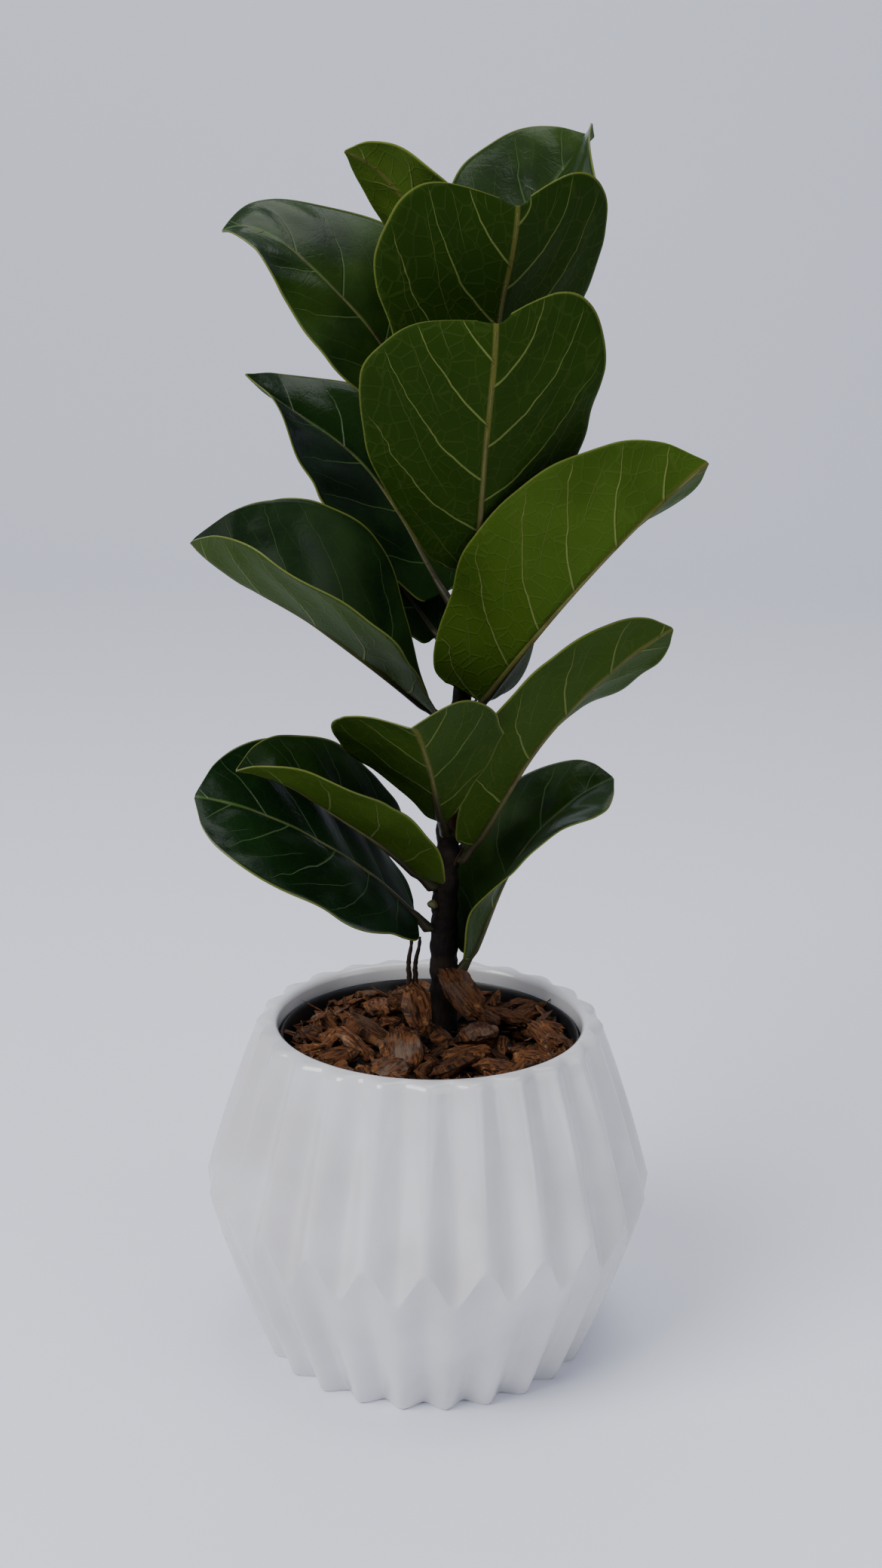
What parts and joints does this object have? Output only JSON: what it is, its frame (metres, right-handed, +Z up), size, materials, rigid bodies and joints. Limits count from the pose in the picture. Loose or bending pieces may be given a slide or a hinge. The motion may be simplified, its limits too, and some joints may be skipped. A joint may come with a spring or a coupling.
{
  "type": "potted fiddle leaf fig",
  "caption": "Young fiddle leaf fig with broad cupped leaves on a slender woody stem, in a nursery pot topped with bark, inside a pleated white glazed cover pot.",
  "frame": {"origin": "centre of the cover pot's foot, on the surface it stands on", "axes": "+Z up along the pot's axis, -Y towards the viewer in front, +X to the viewer's right"},
  "size_m": [0.2067, 0.198, 0.5341],
  "materials": {
    "ceramic": "gloss",
    "black_plastic": "matte",
    "soil": "matte",
    "stem": "matte",
    "leaf": "satin",
    "bark": "matte",
    "twig": "matte",
    "bud": "satin"
  },
  "bodies": {
    "root": {"pot": "ceramic", "grow_pot": "black_plastic", "soil": "soil", "stem": "stem", "leaf_01": "leaf", "leaf_02": "leaf", "leaf_03": "leaf", "leaf_04": "leaf", "leaf_05": "leaf", "leaf_06": "leaf", "leaf_07": "leaf", "leaf_08": "leaf", "leaf_09": "leaf", "leaf_10": "leaf", "leaf_11": "leaf", "leaf_12": "leaf", "leaf_13": "leaf", "leaf_14": "leaf", "bark_slab_1": "bark", "bark_slab_2": "bark", "bark_slab_3": "bark", "bark_chip_01": "bark", "bark_chip_02": "bark", "bark_chip_03": "bark", "bark_chip_04": "bark", "bark_chip_05": "bark", "bark_chip_06": "bark", "bark_chip_07": "bark", "bark_chip_08": "bark", "bark_chip_09": "bark", "bark_chip_10": "bark", "bark_chip_11": "bark", "bark_chip_12": "bark", "bark_chip_13": "bark", "bark_chip_14": "bark", "bark_chip_15": "bark", "bark_chip_16": "bark", "bark_chip_17": "bark", "bark_chip_18": "bark", "bark_chip_19": "bark", "bark_chip_20": "bark", "bark_chip_21": "bark", "bark_chip_22": "bark", "bark_chip_23": "bark", "bark_chip_24": "bark", "bark_chip_25": "bark", "bark_chip_26": "bark", "bark_chip_27": "bark", "bark_chip_28": "bark", "bark_chip_29": "bark", "bark_chip_30": "bark", "bark_chip_31": "bark", "bark_chip_32": "bark", "bark_chip_33": "bark", "dead_twig_1": "twig", "dead_twig_2": "twig", "tip_bud": "bud", "side_bud": "bud"}
  },
  "joints": []
}
